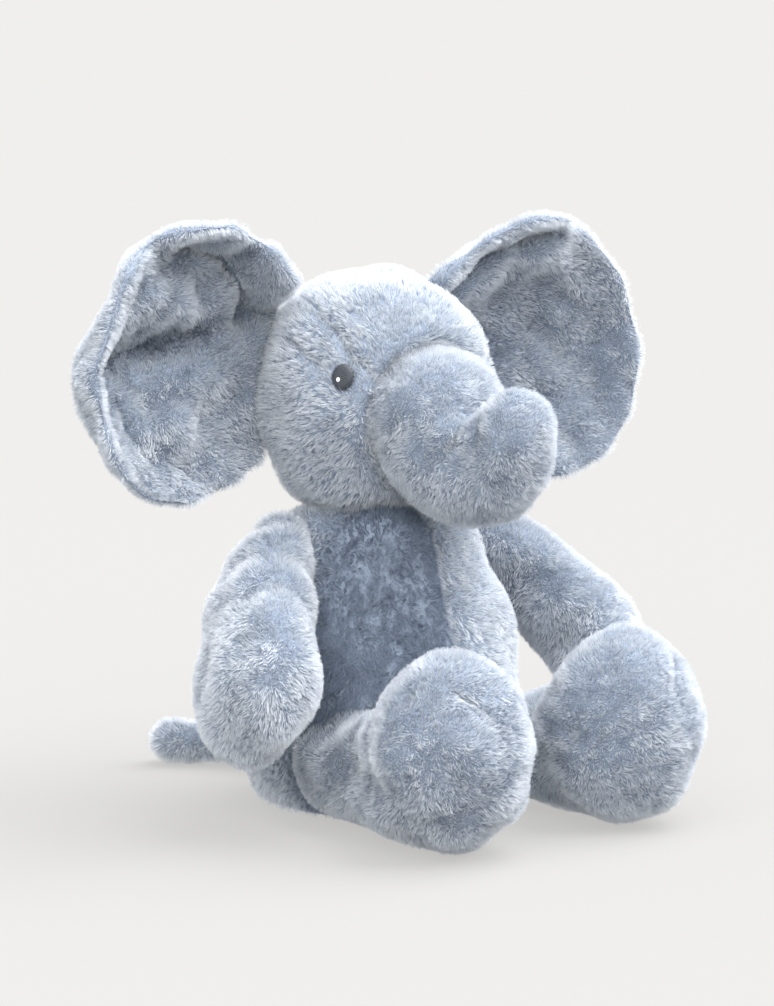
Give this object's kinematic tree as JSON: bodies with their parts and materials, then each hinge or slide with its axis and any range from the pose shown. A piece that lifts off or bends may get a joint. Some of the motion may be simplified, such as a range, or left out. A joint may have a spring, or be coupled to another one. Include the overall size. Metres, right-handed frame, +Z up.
{
  "type": "stuffed elephant",
  "caption": "Seated plush elephant with big dished ears, a short upturned trunk, soft legs stretched out in front and a small tail",
  "frame": {"origin": "centre of the flat seat, on the floor", "axes": "+Z up, the toy faces -Y, its own left side is +X"},
  "size_m": [0.3432, 0.2946, 0.283],
  "materials": {
    "plush_cloth": "matte",
    "polyester_filling": "matte",
    "bean_bag_cloth": "matte",
    "dark_thread": "satin",
    "white_thread": "satin",
    "sewing_thread": "matte"
  },
  "bodies": {
    "torso": {"torso_front_left_panel": "plush_cloth", "torso_front_right_panel": "plush_cloth", "torso_back_panel": "plush_cloth", "torso_seat_panel": "plush_cloth", "torso_filling": "polyester_filling", "seat_bean_bag": "bean_bag_cloth"},
    "neck_seam": {"neck_stitching": "sewing_thread"},
    "head": {"head_left_panel": "plush_cloth", "head_right_panel": "plush_cloth", "head_back_panel": "plush_cloth", "head_filling": "polyester_filling", "left_eye": "dark_thread", "left_eye_highlight": "white_thread", "right_eye": "dark_thread", "right_eye_highlight": "white_thread"},
    "trunk": {"trunk_left_panel": "plush_cloth", "trunk_right_panel": "plush_cloth", "trunk_filling": "polyester_filling"},
    "tail": {"tail_left_panel": "plush_cloth", "tail_right_panel": "plush_cloth", "tail_filling": "polyester_filling"},
    "left_shoulder_seam": {"left_shoulder_stitching": "sewing_thread"},
    "left_arm": {"left_arm_outer_panel": "plush_cloth", "left_arm_inner_panel": "plush_cloth", "left_arm_filling": "polyester_filling"},
    "left_leg": {"left_leg_outer_panel": "plush_cloth", "left_leg_inner_panel": "plush_cloth", "left_leg_filling": "polyester_filling"},
    "left_ear": {"left_ear_front_panel": "plush_cloth", "left_ear_back_panel": "plush_cloth", "left_ear_wadding": "polyester_filling"},
    "right_shoulder_seam": {"right_shoulder_stitching": "sewing_thread"},
    "right_arm": {"right_arm_outer_panel": "plush_cloth", "right_arm_inner_panel": "plush_cloth", "right_arm_filling": "polyester_filling"},
    "right_leg": {"right_leg_outer_panel": "plush_cloth", "right_leg_inner_panel": "plush_cloth", "right_leg_filling": "polyester_filling"},
    "right_ear": {"right_ear_front_panel": "plush_cloth", "right_ear_back_panel": "plush_cloth", "right_ear_wadding": "polyester_filling"}
  },
  "joints": [
    {"name": "neck_turn", "type": "hinge", "parent": "torso", "child": "neck_seam", "pos_m": [0, 0, 0.15], "axis": [0, 0, 1], "range_deg": [-35, 35], "stiffness_Nm_per_rad": 0.12},
    {"name": "neck_nod", "type": "hinge", "parent": "neck_seam", "child": "head", "pos_m": [0, 0, 0.15], "axis": [1, 0, 0], "range_deg": [-12, 12], "stiffness_Nm_per_rad": 0.6},
    {"name": "trunk_lift", "type": "hinge", "parent": "head", "child": "trunk", "pos_m": [0, -0.041, 0.1855], "axis": [-1, 0, 0], "range_deg": [-10, 18], "stiffness_Nm_per_rad": 0.15},
    {"name": "tail_swing", "type": "hinge", "parent": "torso", "child": "tail", "pos_m": [0, 0.06, 0.023], "axis": [0, 0, 1], "range_deg": [-35, 35], "stiffness_Nm_per_rad": 0.01},
    {"name": "left_ear_flap", "type": "hinge", "parent": "head", "child": "left_ear", "pos_m": [0.059, 0.0235, 0.2], "axis": [0, 0, -1], "range_deg": [-20, 25], "stiffness_Nm_per_rad": 0.04},
    {"name": "left_shoulder_swing", "type": "hinge", "parent": "torso", "child": "left_shoulder_seam", "pos_m": [0.05, 0.003, 0.134], "axis": [-1, 0, 0], "range_deg": [-40, 20]},
    {"name": "left_shoulder_raise", "type": "hinge", "parent": "left_shoulder_seam", "child": "left_arm", "pos_m": [0.05, 0.003, 0.134], "axis": [0, -1, 0], "range_deg": [0, 20]},
    {"name": "left_hip_lift", "type": "hinge", "parent": "torso", "child": "left_leg", "pos_m": [0.046, -0.03, 0.029], "axis": [-1, 0, 0], "range_deg": [-25, 22]},
    {"name": "right_ear_flap", "type": "hinge", "parent": "head", "child": "right_ear", "pos_m": [-0.059, 0.0235, 0.2], "axis": [0, 0, 1], "range_deg": [-20, 25], "stiffness_Nm_per_rad": 0.04},
    {"name": "right_shoulder_swing", "type": "hinge", "parent": "torso", "child": "right_shoulder_seam", "pos_m": [-0.05, 0.003, 0.134], "axis": [-1, 0, 0], "range_deg": [-40, 20]},
    {"name": "right_shoulder_raise", "type": "hinge", "parent": "right_shoulder_seam", "child": "right_arm", "pos_m": [-0.05, 0.003, 0.134], "axis": [0, 1, 0], "range_deg": [0, 20]},
    {"name": "right_hip_lift", "type": "hinge", "parent": "torso", "child": "right_leg", "pos_m": [-0.046, -0.03, 0.029], "axis": [-1, 0, 0], "range_deg": [-25, 22]}
  ]
}
